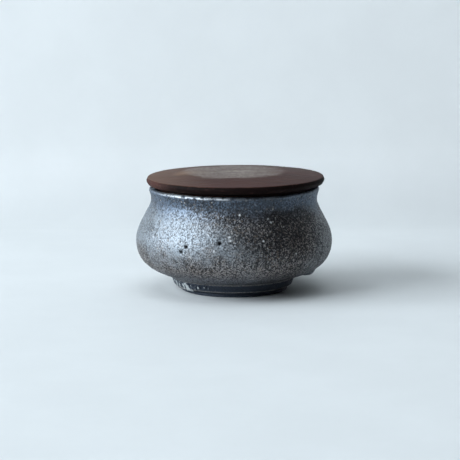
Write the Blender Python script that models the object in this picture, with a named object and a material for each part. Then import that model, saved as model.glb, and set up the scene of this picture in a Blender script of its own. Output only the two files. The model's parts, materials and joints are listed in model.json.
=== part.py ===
"""Small lidded stoneware pot: a thrown and trimmed jar with a turned wooden lid that lifts straight off.

Metres, +Z up. The origin is the centre of the foot, on the surface that the pot stands on.
"""

from math import atan2, pi, radians, sin, tan

import bmesh
import bpy
from mathutils import Vector
from mathutils.geometry import interpolate_bezier

# Pot, outside: heights are stacked rises, so each one can change by itself
BELLY_RADIUS = 0.0553
NECK_INSET = 0.0087
LIP_FLARE = 0.0012
FOOT_RADIUS = 0.0300
FOOT_HEIGHT = 0.0075
UNDERSIDE_RISE = 0.0205
SHOULDER_RISE = 0.0227
COLLAR_RISE = 0.0071
LIP_ROUNDING = 0.0013

# Pot, inside
WALL = 0.0040
FLOOR_THICKNESS = 0.0058
FLOOR_RADIUS = 0.0200
THROWING_RING_PITCH = 0.0065
THROWING_RING_DEPTH = 0.00025

# Foot ring, trimmed on the wheel
FOOT_RING_WIDTH = 0.0052
FOOT_RECESS_DEPTH = 0.0034
FOOT_RECESS_TAPER = 0.0012
FOOT_EDGE_ROUNDING = 0.0005
FOOT_STEP_HEIGHT = 0.0018
FOOT_STEP_RISE = 0.0015
FOOT_STEP_WIDTH = 0.0028
FOOT_BAND_FLARE = 0.0016

# Lid
LID_OVERHANG = 0.0022
LID_SEAT_INSET = 0.0010
LID_UNDERCUT_RISE = 0.0021
LID_SIDE_RISE = 0.0020
LID_SIDE_INSET = 0.0004
LID_EDGE_RISE = 0.0019
LID_EDGE_INSET = 0.0008
LID_SLOPE_WIDTH = 0.0212
LID_SLOPE_RISE = 0.0024
LID_CROWN_RISE = 0.0002
LID_EDGE_ROUNDING = 0.0005
LID_CROWN_ROUNDING = 0.0020
SPIGOT_DEPTH = 0.0055
SPIGOT_CHAMFER = 0.0010
SPIGOT_ROOT_ROUNDING = 0.0006

# Fits
SPIGOT_CLEARANCE = 0.0010
SEAT_GAP = 0.0003

# Curve pulls, as shares of the radial and the vertical distance that each curve covers
UNDERSIDE_PULL_SHARES = (0.25, 0.13)
FLOOR_PULL_SHARES = (0.51, 0.15)
BELLY_LOWER_PULL_SHARE = 0.79
BELLY_UPPER_PULL_SHARE = 0.40
NECK_LOWER_PULL_SHARE = 0.21
NECK_UPPER_PULL_SHARE = 0.48
LIP_PULL_SHARES = (0.66, 0.48)

# Facets
TURN_STEPS = 60
ARC_STEPS = 2
UNDERSIDE_STEPS = 12
SHOULDER_STEPS = 9
COLLAR_STEPS = 4
INSIDE_LOWER_STEPS = 15
INSIDE_UPPER_STEPS = 18
SHARP_EDGE_ANGLE = radians(32)
MERGE_DISTANCE = 0.000001

# Worked out from the sizes above
BELLY_HEIGHT = FOOT_HEIGHT + UNDERSIDE_RISE
NECK_HEIGHT = BELLY_HEIGHT + SHOULDER_RISE
POT_HEIGHT = NECK_HEIGHT + COLLAR_RISE
NECK_RADIUS = BELLY_RADIUS - NECK_INSET
LIP_RADIUS = NECK_RADIUS + LIP_FLARE
FLOOR_HEIGHT = FOOT_RECESS_DEPTH + FLOOR_THICKNESS
MOUTH_RADIUS = NECK_RADIUS - WALL
SPIGOT_RADIUS = MOUTH_RADIUS - SPIGOT_CLEARANCE
SEAT_HEIGHT = POT_HEIGHT + SEAT_GAP


def clear_scene():
    for obj in list(bpy.data.objects):
        bpy.data.objects.remove(obj, do_unlink=True)


def make_material(name, colour, roughness, metallic):
    material = bpy.data.materials.new(name)
    material.use_nodes = True
    shader = material.node_tree.nodes["Principled BSDF"]
    shader.inputs["Base Color"].default_value = (*colour, 1.0)
    shader.inputs["Roughness"].default_value = roughness
    shader.inputs["Metallic"].default_value = metallic
    return material


def rounded(corners):
    """Outline through corners given as (radius, height, rounding), with an arc at each rounded corner."""
    points = [Vector(corners[0][:2])]
    for previous, (radius, height, rounding), following in zip(corners, corners[1:], corners[2:]):
        corner = Vector((radius, height))
        if not rounding:
            points.append(corner)
            continue
        back = (Vector(previous[:2]) - corner).normalized()
        ahead = (Vector(following[:2]) - corner).normalized()
        half_angle = back.angle(ahead) / 2
        reach = rounding / tan(half_angle)
        centre = corner + (back + ahead).normalized() * (rounding / sin(half_angle))
        first = corner + back * reach - centre
        last = corner + ahead * reach - centre
        sweep = first.angle(last)
        for step in range(ARC_STEPS + 1):
            share = step / ARC_STEPS
            spoke = first * sin((1 - share) * sweep) + last * sin(share * sweep)
            points.append(centre + spoke / sin(sweep))
    points.append(Vector(corners[-1][:2]))
    return points


def curve_to_belly(start, start_pull_shares, belly, steps):
    """Sweep from a low start out and up to the belly, where the wall stands upright."""
    span = belly - start
    pull = Vector((span.x * start_pull_shares[0], span.y * start_pull_shares[1]))
    belly_pull = Vector((0, span.y * BELLY_LOWER_PULL_SHARE))
    return interpolate_bezier(start, start + pull, belly - belly_pull, belly, steps + 1)


def curve_to_neck(belly, neck, steps):
    """Shoulder from the belly in to the neck, upright at both ends."""
    rise = neck.y - belly.y
    belly_pull = Vector((0, rise * BELLY_UPPER_PULL_SHARE))
    neck_pull = Vector((0, rise * NECK_LOWER_PULL_SHARE))
    return interpolate_bezier(belly, belly + belly_pull, neck - neck_pull, neck, steps + 1)


def curve_to_lip(neck, lip, steps):
    """Short collar from the neck up and slightly out to the lip."""
    span = lip - neck
    neck_pull = Vector((0, span.y * NECK_UPPER_PULL_SHARE))
    lip_pull = Vector((span.x * LIP_PULL_SHARES[0], span.y * LIP_PULL_SHARES[1]))
    return interpolate_bezier(neck, neck + neck_pull, lip - lip_pull, lip, steps + 1)


def foot_outline():
    """Under the pot: from the middle of the recess, round the foot ring and up its stepped band."""
    ring_inner = FOOT_RADIUS - FOOT_RING_WIDTH
    step_radius = FOOT_RADIUS + FOOT_STEP_WIDTH
    step_top = FOOT_STEP_HEIGHT + FOOT_STEP_RISE
    return rounded([
        (0, FOOT_RECESS_DEPTH, 0),
        (ring_inner - FOOT_RECESS_TAPER, FOOT_RECESS_DEPTH, FOOT_EDGE_ROUNDING),
        (ring_inner, 0, FOOT_EDGE_ROUNDING),
        (FOOT_RADIUS, 0, FOOT_EDGE_ROUNDING),
        (FOOT_RADIUS, FOOT_STEP_HEIGHT, 0),
        (step_radius, step_top, FOOT_EDGE_ROUNDING),
        (step_radius + FOOT_BAND_FLARE, FOOT_HEIGHT, 0),
    ])


def outer_outline():
    """From under the foot, over the belly and the neck, to the inner edge of the lip."""
    foot = foot_outline()
    belly = Vector((BELLY_RADIUS, BELLY_HEIGHT))
    neck = Vector((NECK_RADIUS, NECK_HEIGHT))
    lip = Vector((LIP_RADIUS, POT_HEIGHT - LIP_ROUNDING))
    underside = curve_to_belly(foot[-1], UNDERSIDE_PULL_SHARES, belly, UNDERSIDE_STEPS)
    shoulder = curve_to_neck(belly, neck, SHOULDER_STEPS)
    collar = curve_to_lip(neck, lip, COLLAR_STEPS)
    lip_inner = LIP_RADIUS - WALL
    lip_top = rounded([
        (lip.x, lip.y, 0),
        (lip.x, POT_HEIGHT, LIP_ROUNDING),
        (lip_inner, POT_HEIGHT, LIP_ROUNDING),
        (lip_inner, lip.y, 0),
    ])
    return foot + underside[1:] + shoulder[1:] + collar[1:] + lip_top[1:]


def inner_outline():
    """From the middle of the floor up the inside of the wall to the inner edge of the lip."""
    floor_edge = Vector((FLOOR_RADIUS, FLOOR_HEIGHT))
    belly = Vector((BELLY_RADIUS - WALL, BELLY_HEIGHT))
    neck = Vector((MOUTH_RADIUS, NECK_HEIGHT))
    lip = Vector((LIP_RADIUS - WALL, POT_HEIGHT - LIP_ROUNDING))
    lower = curve_to_belly(floor_edge, FLOOR_PULL_SHARES, belly, INSIDE_LOWER_STEPS)
    upper = curve_to_neck(belly, neck, INSIDE_UPPER_STEPS)
    collar = curve_to_lip(neck, lip, COLLAR_STEPS)
    return [Vector((0, FLOOR_HEIGHT))] + lower + upper[1:] + collar[1:]


def lid_outline():
    """Turned disc with a locating spigot below; heights count from the face that sits on the lip."""
    seat_edge = LIP_RADIUS - LID_SEAT_INSET
    widest = LIP_RADIUS + LID_OVERHANG
    widest_height = LID_UNDERCUT_RISE + LID_SIDE_RISE
    edge_top = widest_height + LID_EDGE_RISE
    edge_radius = widest - LID_EDGE_INSET
    crown_radius = edge_radius - LID_SLOPE_WIDTH
    crown_edge = edge_top + LID_SLOPE_RISE
    return rounded([
        (0, -SPIGOT_DEPTH, 0),
        (SPIGOT_RADIUS - SPIGOT_CHAMFER, -SPIGOT_DEPTH, 0),
        (SPIGOT_RADIUS, SPIGOT_CHAMFER - SPIGOT_DEPTH, 0),
        (SPIGOT_RADIUS, 0, SPIGOT_ROOT_ROUNDING),
        (seat_edge, 0, 0),
        (widest - LID_SIDE_INSET, LID_UNDERCUT_RISE, LID_EDGE_ROUNDING),
        (widest, widest_height, LID_EDGE_ROUNDING),
        (edge_radius, edge_top, LID_EDGE_ROUNDING),
        (crown_radius, crown_edge, LID_CROWN_ROUNDING),
        (0, crown_edge + LID_CROWN_RISE, 0),
    ])


def turn(mesh, outline):
    """Spin an outline once round the Z axis and return the vertices of the turned sheet."""
    profile = [mesh.verts.new((point.x, 0, point.y)) for point in outline]
    edges = [mesh.edges.new(pair) for pair in zip(profile, profile[1:])]
    others = set(mesh.verts) - set(profile)
    bmesh.ops.spin(
        mesh,
        geom=profile + edges,
        cent=(0, 0, 0),
        axis=(0, 0, 1),
        angle=2 * pi,
        steps=TURN_STEPS,
        use_merge=True,
    )
    return [vert for vert in mesh.verts if vert not in others]


def press_throwing_rings(verts):
    """One continuous finger ridge that winds up the inside wall and fades at the floor and the neck."""
    for vert in verts:
        share = (vert.co.z - FLOOR_HEIGHT) / (NECK_HEIGHT - FLOOR_HEIGHT)
        radius = vert.co.xy.length
        if not 0 < share < 1 or not radius:
            continue
        wind = 2 * pi * vert.co.z / THROWING_RING_PITCH - atan2(vert.co.y, vert.co.x)
        swell = THROWING_RING_DEPTH * sin(wind) * sin(pi * share)
        vert.co.xy *= (radius + swell) / radius


def finish_piece(name, mesh, material, height):
    """Weld the turned sheets into one closed body and add it to the scene at its height."""
    bmesh.ops.remove_doubles(mesh, verts=mesh.verts, dist=MERGE_DISTANCE)
    bmesh.ops.recalc_face_normals(mesh, faces=mesh.faces)
    data = bpy.data.meshes.new(name)
    mesh.to_mesh(data)
    mesh.free()
    data.shade_smooth()
    data.set_sharp_from_angle(angle=SHARP_EDGE_ANGLE)
    data.materials.append(material)
    piece = bpy.data.objects.new(name, data)
    piece.location.z = height
    bpy.context.collection.objects.link(piece)
    return piece


def make_pot_body():
    glaze = make_material("dark_metallic_glaze", (0.095, 0.098, 0.108), 0.46, 0.35)
    mesh = bmesh.new()
    press_throwing_rings(turn(mesh, inner_outline()))
    turn(mesh, outer_outline())
    return finish_piece("pot_body", mesh, glaze, 0)


def make_lid():
    wood = make_material("dark_turned_wood", (0.105, 0.066, 0.054), 0.48, 0.0)
    mesh = bmesh.new()
    turn(mesh, lid_outline())
    return finish_piece("lid", mesh, wood, SEAT_HEIGHT)


def main():
    clear_scene()
    make_pot_body()
    make_lid()


main()
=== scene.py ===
"""Finish of a small lidded stoneware pot: thrown and glazed body, turned wooden lid and a plain studio."""

import json
from math import asin, atan, atan2, cos, pi, radians, sin, tan

import bmesh
import bpy
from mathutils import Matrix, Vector, noise
from mathutils.geometry import interpolate_bezier

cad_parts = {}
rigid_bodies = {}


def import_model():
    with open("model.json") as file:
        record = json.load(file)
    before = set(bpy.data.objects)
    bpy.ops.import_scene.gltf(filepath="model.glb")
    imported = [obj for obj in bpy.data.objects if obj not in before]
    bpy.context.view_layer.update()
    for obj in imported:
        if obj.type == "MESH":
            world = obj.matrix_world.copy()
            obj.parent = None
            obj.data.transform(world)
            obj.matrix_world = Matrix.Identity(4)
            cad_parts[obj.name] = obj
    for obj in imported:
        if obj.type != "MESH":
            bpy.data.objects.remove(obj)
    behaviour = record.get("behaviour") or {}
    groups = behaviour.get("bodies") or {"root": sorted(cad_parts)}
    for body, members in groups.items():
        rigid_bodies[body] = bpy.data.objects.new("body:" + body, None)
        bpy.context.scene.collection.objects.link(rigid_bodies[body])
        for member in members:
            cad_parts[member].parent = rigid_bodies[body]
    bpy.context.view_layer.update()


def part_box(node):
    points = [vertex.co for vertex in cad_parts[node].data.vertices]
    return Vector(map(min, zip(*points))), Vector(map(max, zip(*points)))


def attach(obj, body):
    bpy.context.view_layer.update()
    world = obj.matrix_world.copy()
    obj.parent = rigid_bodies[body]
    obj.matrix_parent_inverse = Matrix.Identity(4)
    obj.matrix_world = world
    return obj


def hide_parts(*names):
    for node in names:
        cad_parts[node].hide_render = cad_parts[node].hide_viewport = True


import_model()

bl_info = {
    "name": "Lidded stoneware pot",
    "version": (1, 0, 0),
    "blender": (4, 5, 0),
    "location": "View3D > Sidebar > Lidded pot",
    "description": "Throws and glazes a small stoneware pot, turns its wooden lid and sets a plain studio",
    "category": "Object",
}

POT_LOW, POT_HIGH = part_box("pot_body")
LID_LOW, LID_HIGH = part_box("lid")

MM = 0.001


# Sizes and colours that a user would change

def a_length(name, default, description):
    return bpy.props.FloatProperty(name=name, description=description, default=default, unit="LENGTH")


def an_angle(name, default, description):
    return bpy.props.FloatProperty(name=name, description=description, default=default, unit="ROTATION")


def a_power(name, default, description):
    return bpy.props.FloatProperty(name=name, description=description, default=default, unit="POWER")


def a_colour(name, default, description):
    return bpy.props.FloatVectorProperty(
        name=name, description=description, default=default, subtype="COLOR", min=0, max=1)


class PotSizes(bpy.types.PropertyGroup):
    """Sizes of the thrown body"""
    belly_radius: a_length("Belly radius", (POT_HIGH.x - POT_LOW.x) / 2, "Widest radius of the body")
    height: a_length("Height", POT_HIGH.z - POT_LOW.z, "Height of the body from its foot to its lip")
    neck_inset: a_length("Neck inset", 0.0087, "How far the neck lies inside the belly")
    lip_flare: a_length("Lip flare", 0.0012, "How far the lip leans out past the neck")
    collar_rise: a_length("Collar rise", 0.0071, "Height from the neck to the lip")
    shoulder_rise: a_length("Shoulder rise", 0.0227, "Height from the belly to the neck")
    wall: a_length("Wall", 0.0040, "Thickness of the thrown wall")
    lip_rounding: a_length("Lip rounding", 0.0013, "Radius of the lip's two edges")
    floor_radius: a_length("Floor radius", 0.0200, "Radius of the flat floor inside")
    floor_thickness: a_length("Floor thickness", 0.0058, "Clay between the recess and the floor")
    foot_radius: a_length("Foot radius", 0.0300, "Outer radius of the foot ring")
    foot_height: a_length("Foot height", 0.0075, "Height of the trimmed foot")
    foot_ring_width: a_length("Foot ring width", 0.0052, "Width of the ring that the pot stands on")
    recess_depth: a_length("Recess depth", 0.0034, "Depth of the hollow inside the foot ring")
    recess_taper: a_length("Recess taper", 0.0012, "Slope of the recess wall")
    step_height: a_length("Step height", 0.0018, "Height of the foot's lower cut")
    step_rise: a_length("Step rise", 0.0015, "Rise of the foot's stepped ledge")
    step_width: a_length("Step width", 0.0028, "Width of the foot's stepped ledge")
    band_flare: a_length("Band flare", 0.0016, "Lean of the foot's upper band")
    foot_rounding: a_length("Foot rounding", 0.0005, "Radius of the foot's edges")
    ring_pitch: a_length("Throwing ring pitch", 0.0065, "Rise of one turn of the finger ridge inside")
    ring_depth: a_length("Throwing ring depth", 0.00025, "Depth of the finger ridge inside")
    lip_rise: a_length("Lip rise", 0.0004, "How far the lip stands over the plain one")


class LidSizes(bpy.types.PropertyGroup):
    """Sizes of the turned lid and how it lies on the lip"""
    radius: a_length("Radius", (LID_HIGH.x - LID_LOW.x) / 2 + 0.1 * MM, "Widest radius of the lid")
    seat_height: a_length("Seat height", LID_LOW.z + 0.0059, "Height of the face that sits on the lip")
    spigot_depth: a_length("Spigot depth", 0.0059, "Depth of the spigot that centres the lid")
    spigot_radius: a_length("Spigot radius", 0.0416, "Radius of the spigot")
    spigot_chamfer: a_length("Spigot chamfer", 0.0010, "Chamfer round the spigot")
    seat_inset: a_length("Seat inset", 0.0046, "How far the seat's edge lies inside the widest line")
    undercut_rise: a_length("Undercut rise", 0.0017, "Height of the bevel under the side")
    side_rise: a_length("Side rise", 0.0020, "Height from the bevel to the widest line")
    side_inset: a_length("Side inset", 0.0011, "How far the side draws in below the widest line")
    edge_rise: a_length("Edge rise", 0.0019, "Height from the widest line to the upper edge")
    edge_inset: a_length("Edge inset", 0.0008, "How far the upper edge draws in")
    slope_width: a_length("Slope width", 0.0212, "Width of the sloping rim on top")
    slope_rise: a_length("Slope rise", 0.0024, "Rise of the sloping rim on top")
    crown_rise: a_length("Crown rise", 0.0002, "Rise of the flat middle")
    lean: an_angle("Lean", radians(0.44), "How far the loose lid leans to the left on the uneven lip")
    tip: an_angle("Tip", radians(0.30), "How far the loose lid tips back on the uneven lip")
    slide: a_length("Slide", 0.0008, "How far the loose lid has slid in the mouth")
    settle: a_length("Settle", 0.0003, "How far the lid settles until it rests on the lip")


class GlazeLook(bpy.types.PropertyGroup):
    """Colours of the glaze and of the bare foot"""
    dark: a_colour("Dark glaze", (0.011, 0.011, 0.013), "Bare dark glaze")
    pewter: a_colour("Pewter", (0.279, 0.308, 0.337), "Metallic bloom on the glaze")
    # Painted shade: this duller, warmer colour stands in for the shade on the unlit right side; it is also
    # used low down.
    shaded_and_low_bloom: a_colour("Smoke", (0.345, 0.303, 0.285), "Duller bloom low down and on the right")
    slate: a_colour("Slate", (0.138, 0.178, 0.238), "Bluer bloom round the neck")
    brown: a_colour("Brown", (0.205, 0.158, 0.122), "Iron that breaks through")
    # Also painted along the foot's step and rim edges as painted highlights.
    grain: a_colour("Grain", (0.300, 0.285, 0.270), "Pale sand grains")
    # On the lip this pale colour is partly a painted highlight, kept to the lit left.
    lip: a_colour("Lip", (0.520, 0.540, 0.560), "Thin glaze on the lip and on the largest grains")
    clay: a_colour("Fired clay", (0.009, 0.017, 0.032), "Unglazed foot")
    residue: a_colour("Residue", (0.420, 0.450, 0.450), "Pale kiln residue by the foot")


class WoodLook(bpy.types.PropertyGroup):
    """Colours of the lid's wood"""
    heart: a_colour("Heartwood", (0.057, 0.024, 0.020), "Main colour of the wood")
    streak: a_colour("Streak", (0.044, 0.020, 0.017), "Dark streaks")
    pale: a_colour("Pale grain", (0.120, 0.068, 0.050), "Worn, paler grain")
    # Painted reflection: a lighter colour that stands in for the sheen of the crown.
    painted_sheen: a_colour("Haze", (0.222, 0.186, 0.160), "Dry, scuffed haze on the crown")
    # Painted shade: this near-black colour stands in for the shade on the lid's side and under it.
    painted_side_shade: a_colour("End grain", (0.008, 0.0042, 0.0038), "Dark side of the lid")
    # Also painted towards the left of the top as painted light.
    warm: a_colour("Warm patch", (0.190, 0.115, 0.075), "Warm patch beside the crown")
    # Painted shade: near-black colour for the bevel under the lid's side.
    shade: a_colour("Underside", (0.0015, 0.0012, 0.0012), "Grimy bevel under the side")


class StudioSettings(bpy.types.PropertyGroup):
    """Colours and light of the plain studio"""
    floor_colour: a_colour("Floor", (0.665, 0.675, 0.668), "Floor")
    wall_colour: a_colour("Wall", (0.850, 0.855, 0.845), "Backdrop")
    window_colour: a_colour("Window colour", (0.82, 0.915, 1.0), "Light of the window and of the lamp above")
    window_power: a_power("Window power", 232.0, "Power of the wide soft window")
    overhead_power: a_power("Overhead power", 60.0, "Power of the weak lamp above")


# Curves of the turned outlines, pulled along X and Z by shares of the distance that each one covers

UNDERSIDE_PULL_SHARES = (0.25, 0.13)
FLOOR_PULL_SHARES = (0.51, 0.15)
BELLY_LOWER_PULL_SHARES = (0, 0.79)
BELLY_UPPER_PULL_SHARES = (0, 0.40)
NECK_LOWER_PULL_SHARES = (0, 0.21)
NECK_UPPER_PULL_SHARES = (0, 0.48)
LIP_PULL_SHARES = (0.66, 0.48)

OUTSIDE_CURVE_STEPS = (62, 52, 16)
INSIDE_CURVE_STEPS = (24, 20, 4)
COARSE_ARC_STEPS = 4
FINE_ARC_STEPS = 5
OUTSIDE_SPACING = 0.5 * MM
FLOOR_SPACING = 4 * MM
LID_SPACING = 0.7 * MM

OUTSIDE_TURN_STEPS = 480
INSIDE_TURN_STEPS = 120
LID_TURN_STEPS = 288
MERGE_DISTANCE = 0.001 * MM


def rounded(corners, arc_steps):
    """Outline through corners given as (radius, height, rounding), with an arc at each rounded corner."""
    points = [Vector(corners[0][:2])]
    for previous, (radius, height, rounding), following in zip(corners, corners[1:], corners[2:]):
        corner = Vector((radius, height))
        if not rounding:
            points.append(corner)
            continue
        back = (Vector(previous[:2]) - corner).normalized()
        ahead = (Vector(following[:2]) - corner).normalized()
        half_angle = back.angle(ahead) / 2
        reach = rounding / tan(half_angle)
        centre = corner + (back + ahead).normalized() * (rounding / sin(half_angle))
        first = corner + back * reach - centre
        last = corner + ahead * reach - centre
        turn = first.angle(last)
        for step in range(arc_steps + 1):
            share = step / arc_steps
            spoke = first * sin((1 - share) * turn) + last * sin(share * turn)
            points.append(centre + spoke / sin(turn))
    points.append(Vector(corners[-1][:2]))
    return points


def evened(points, spacing):
    """The same outline with points about one spacing apart, its corners kept."""
    evenly = [points[0]]
    for point in points[1:]:
        start = evenly[-1]
        count = max(1, round((point - start).length / spacing))
        evenly += [start.lerp(point, step / count) for step in range(1, count + 1)]
    return evenly


def pulled_curve(start, start_pull_shares, end, end_pull_shares, steps):
    """Smooth curve between two points of an outline."""
    span = end - start
    start_pull = span * Vector(start_pull_shares)
    end_pull = span * Vector(end_pull_shares)
    return interpolate_bezier(start, start + start_pull, end - end_pull, end, steps + 1)


# Modelling by hand in edit mode

def deselect_everything():
    for obj in bpy.context.view_layer.objects:
        obj.select_set(False)


def new_piece(name):
    """A piece with no faces yet, in edit mode, holding one vertex at the origin."""
    deselect_everything()
    bpy.ops.mesh.primitive_plane_add(size=MM, location=(0, 0, 0))
    piece = bpy.context.object
    piece.name = name
    piece.data.name = name
    bpy.ops.object.mode_set(mode="EDIT")
    bpy.ops.mesh.select_mode(type="VERT")
    bpy.ops.mesh.select_all(action="SELECT")
    bpy.ops.mesh.merge(type="CENTER")
    return piece


def extrude_outline(points):
    """Move the one selected vertex to the outline's start and extrude it from point to point."""
    first = points[0]
    bpy.ops.transform.translate(value=(first.x, 0, first.y))
    for here, there in zip(points, points[1:]):
        step = (there.x - here.x, 0, there.y - here.y)
        bpy.ops.mesh.extrude_region_move(TRANSFORM_OT_translate={"value": step})


def spin_outline(steps):
    """Spin the whole selected outline once round the Z axis and weld its seam and its pole."""
    bpy.ops.mesh.select_linked()
    bpy.ops.mesh.spin(steps=steps, angle=2 * pi, center=(0, 0, 0), axis=(0, 0, 1))
    bpy.ops.mesh.select_all(action="SELECT")
    bpy.ops.mesh.remove_doubles(threshold=MERGE_DISTANCE)


def start_vertex():
    """Add a fresh vertex at the origin to the mesh in edit mode and select only it."""
    bpy.ops.mesh.select_all(action="DESELECT")
    bpy.ops.mesh.primitive_plane_add(size=MM, location=(0, 0, 0))
    bpy.ops.mesh.merge(type="CENTER")


def bridge_open_loops(low, high):
    """Bridge the two open loops that lie between two heights."""
    bpy.ops.mesh.select_mode(type="EDGE")
    bpy.ops.mesh.select_all(action="DESELECT")
    bpy.ops.mesh.select_non_manifold()
    mesh = bmesh.from_edit_mesh(bpy.context.edit_object.data)
    for edge in mesh.edges:
        if edge.select and not low <= edge.verts[0].co.z <= high:
            edge.select_set(False)
    bpy.ops.mesh.bridge_edge_loops()


def leave_edit_mode():
    bpy.ops.mesh.select_all(action="SELECT")
    bpy.ops.mesh.normals_make_consistent(inside=False)
    bpy.ops.object.mode_set(mode="OBJECT")


# Body of the pot

class PotOutline:
    """Outlines of the thrown body, worked out from its sizes."""

    def __init__(self, sizes):
        self.sizes = sizes
        self.neck_height = sizes.height - sizes.collar_rise
        self.belly_height = self.neck_height - sizes.shoulder_rise
        self.neck_radius = sizes.belly_radius - sizes.neck_inset
        self.lip_radius = self.neck_radius + sizes.lip_flare
        self.lip_start = sizes.height - sizes.lip_rounding
        self.floor_height = sizes.recess_depth + sizes.floor_thickness

    def foot_ring(self):
        """From the foot ring's inner edge over its stepped ledge to where the wall begins."""
        s = self.sizes
        step_radius = s.foot_radius + s.step_width
        return rounded([
            (s.foot_radius - s.foot_ring_width, 0, 0),
            (s.foot_radius, 0, s.foot_rounding),
            (s.foot_radius, s.step_height, 0),
            (step_radius, s.step_height + s.step_rise, s.foot_rounding),
            (step_radius + s.band_flare, s.foot_height, 0),
        ], COARSE_ARC_STEPS)

    def wall(self, depth, start, start_pull_shares, steps):
        """From a low start up over belly, shoulder and neck to the lip, at a depth inside the outer face."""
        belly = Vector((self.sizes.belly_radius - depth, self.belly_height))
        neck = Vector((self.neck_radius - depth, self.neck_height))
        lip = Vector((self.lip_radius - depth, self.lip_start))
        to_belly, to_neck, to_lip = steps
        points = pulled_curve(start, start_pull_shares, belly, BELLY_LOWER_PULL_SHARES, to_belly)
        points += pulled_curve(belly, BELLY_UPPER_PULL_SHARES, neck, NECK_LOWER_PULL_SHARES, to_neck)[1:]
        points += pulled_curve(neck, NECK_UPPER_PULL_SHARES, lip, LIP_PULL_SHARES, to_lip)[1:]
        return points

    def outside(self):
        """From the foot ring's inner edge up the outside to the top of the lip."""
        s = self.sizes
        foot = self.foot_ring()
        wall = self.wall(0, foot[-1], UNDERSIDE_PULL_SHARES, OUTSIDE_CURVE_STEPS)
        lip_top = rounded([
            (self.lip_radius, self.lip_start, 0),
            (self.lip_radius, s.height, s.lip_rounding),
            (self.lip_radius - s.wall / 2, s.height, 0),
        ], FINE_ARC_STEPS)
        return evened(foot, OUTSIDE_SPACING) + wall[1:] + evened(lip_top[1:], OUTSIDE_SPACING)

    def inside(self):
        """From the top of the lip down the inside to the middle of the floor."""
        s = self.sizes
        lip_inner = self.lip_radius - s.wall
        lip_top = rounded([
            (lip_inner + s.wall / 4, s.height, 0),
            (lip_inner, s.height, s.lip_rounding),
            (lip_inner, self.lip_start, 0),
        ], COARSE_ARC_STEPS)
        floor_edge = Vector((s.floor_radius, self.floor_height))
        wall = self.wall(s.wall, floor_edge, FLOOR_PULL_SHARES, INSIDE_CURVE_STEPS)
        floor = evened([floor_edge, Vector((0, self.floor_height))], FLOOR_SPACING)
        return lip_top + wall[-2::-1] + floor[1:]

    def underside(self):
        """From the middle of the recess out to just short of the foot ring's inner edge."""
        s = self.sizes
        ring_inner = s.foot_radius - s.foot_ring_width
        return rounded([
            (0, s.recess_depth, 0),
            (ring_inner - s.recess_taper, s.recess_depth, s.foot_rounding),
            (ring_inner - s.foot_rounding, s.foot_rounding, 0),
        ], COARSE_ARC_STEPS)


def smooth_step(low, high, value):
    """Share from 0 at low to 1 at high, with soft ends."""
    share = min(1.0, max(0.0, (value - low) / (high - low)))
    return share * share * (3 - 2 * share)


CELL_SCATTER = 7.31


def cell_noise(point, size):
    """Share of the cell size to the nearest cell's centre, and that cell's own number from 0 to 1."""
    distances, centres = noise.voronoi(point / size)
    return distances[0], noise.cell(centres[0] * CELL_SCATTER) * 0.5 + 0.5


def at(x, y, z):
    """A place given in millimetres."""
    return Vector((x, y, z)) * MM


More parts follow.
